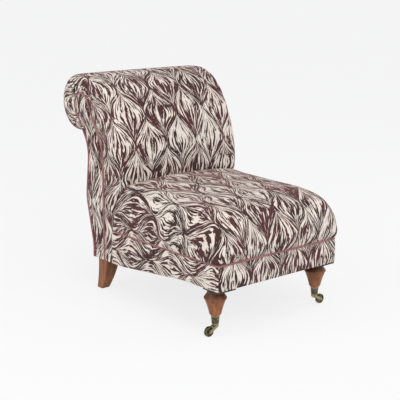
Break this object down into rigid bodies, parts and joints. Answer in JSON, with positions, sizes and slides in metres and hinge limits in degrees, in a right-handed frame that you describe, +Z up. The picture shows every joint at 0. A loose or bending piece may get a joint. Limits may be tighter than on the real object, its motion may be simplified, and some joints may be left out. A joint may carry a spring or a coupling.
{
  "type": "accent chair",
  "caption": "Armless slipper chair with a scroll-over back, deep sprung seat, piped borders, turned front legs on swivelling brass castors and swept rear legs.",
  "frame": {"origin": "on the floor under the middle of the chair's outer box", "axes": "+Z up, -Y the way the sitter faces, +X to the right of someone facing the chair"},
  "size_m": [0.612, 1.002, 0.88],
  "materials": {
    "cover_fabric": "woven upholstery cloth, cream with a burgundy print",
    "piping_fabric": "dusty rose piping cloth over cord",
    "frame_wood": "sawn beech",
    "leg_wood": "satin stained beech",
    "plate_wood": "dark stained wood",
    "steel": "plain steel wire and screws",
    "webbing_cloth": "jute",
    "dust_cloth": "black bottom cloth",
    "castor_brass": "aged cast brass"
  },
  "bodies": {
    "chair": {"back_pad": "cover_fabric", "back_webbing": "webbing_cloth", "corner_block_screws": "steel", "corner_blocks": "frame_wood", "dust_cover": "dust_cloth", "front_border": "cover_fabric", "front_leg_bolts": "steel", "front_seat_rail": "frame_wood", "left_back_border": "cover_fabric", "left_back_post": "frame_wood", "left_border": "cover_fabric", "left_castor_cup": "castor_brass", "left_cup_screws": "castor_brass", "left_facing": "cover_fabric", "left_facing_piping": "piping_fabric", "left_front_leg": "leg_wood", "left_front_leg_plate": "plate_wood", "left_rear_leg": "leg_wood", "left_seat_rail": "frame_wood", "left_swivel_pin": "castor_brass", "outside_back": "cover_fabric", "rear_leg_bolts": "steel", "rear_seat_rail": "frame_wood", "right_back_border": "cover_fabric", "right_back_post": "frame_wood", "right_border": "cover_fabric", "right_castor_cup": "castor_brass", "right_cup_screws": "castor_brass", "right_facing": "cover_fabric", "right_facing_piping": "piping_fabric", "right_front_leg": "leg_wood", "right_front_leg_plate": "plate_wood", "right_rear_leg": "leg_wood", "right_seat_rail": "frame_wood", "right_swivel_pin": "castor_brass", "scroll_pad": "cover_fabric", "scroll_rail": "frame_wood", "seat_pad": "cover_fabric", "seat_piping": "piping_fabric", "seat_springs": "steel", "spring_clips": "steel", "spring_platform": "webbing_cloth", "stuffing_rail": "frame_wood", "top_rail": "frame_wood"},
    "left_castor": {"left_castor_horn": "castor_brass", "left_castor_axle": "castor_brass"},
    "left_wheel": {"left_castor_wheel": "castor_brass"},
    "right_castor": {"right_castor_horn": "castor_brass", "right_castor_axle": "castor_brass"},
    "right_wheel": {"right_castor_wheel": "castor_brass"}
  },
  "joints": [
    {"name": "left_castor_swivel", "type": "hinge", "parent": "chair", "child": "left_castor", "pos_m": [-0.257, -0.419, 0.0417], "axis": [0, 0, 1], "continuous": true},
    {"name": "left_wheel_spin", "type": "hinge", "parent": "left_castor", "child": "left_wheel", "pos_m": [-0.287, -0.419, 0.019], "axis": [0, 1, 0], "continuous": true},
    {"name": "right_castor_swivel", "type": "hinge", "parent": "chair", "child": "right_castor", "pos_m": [0.257, -0.419, 0.0417], "axis": [0, 0, 1], "continuous": true},
    {"name": "right_wheel_spin", "type": "hinge", "parent": "right_castor", "child": "right_wheel", "pos_m": [0.287, -0.419, 0.019], "axis": [0, 1, 0], "continuous": true}
  ]
}
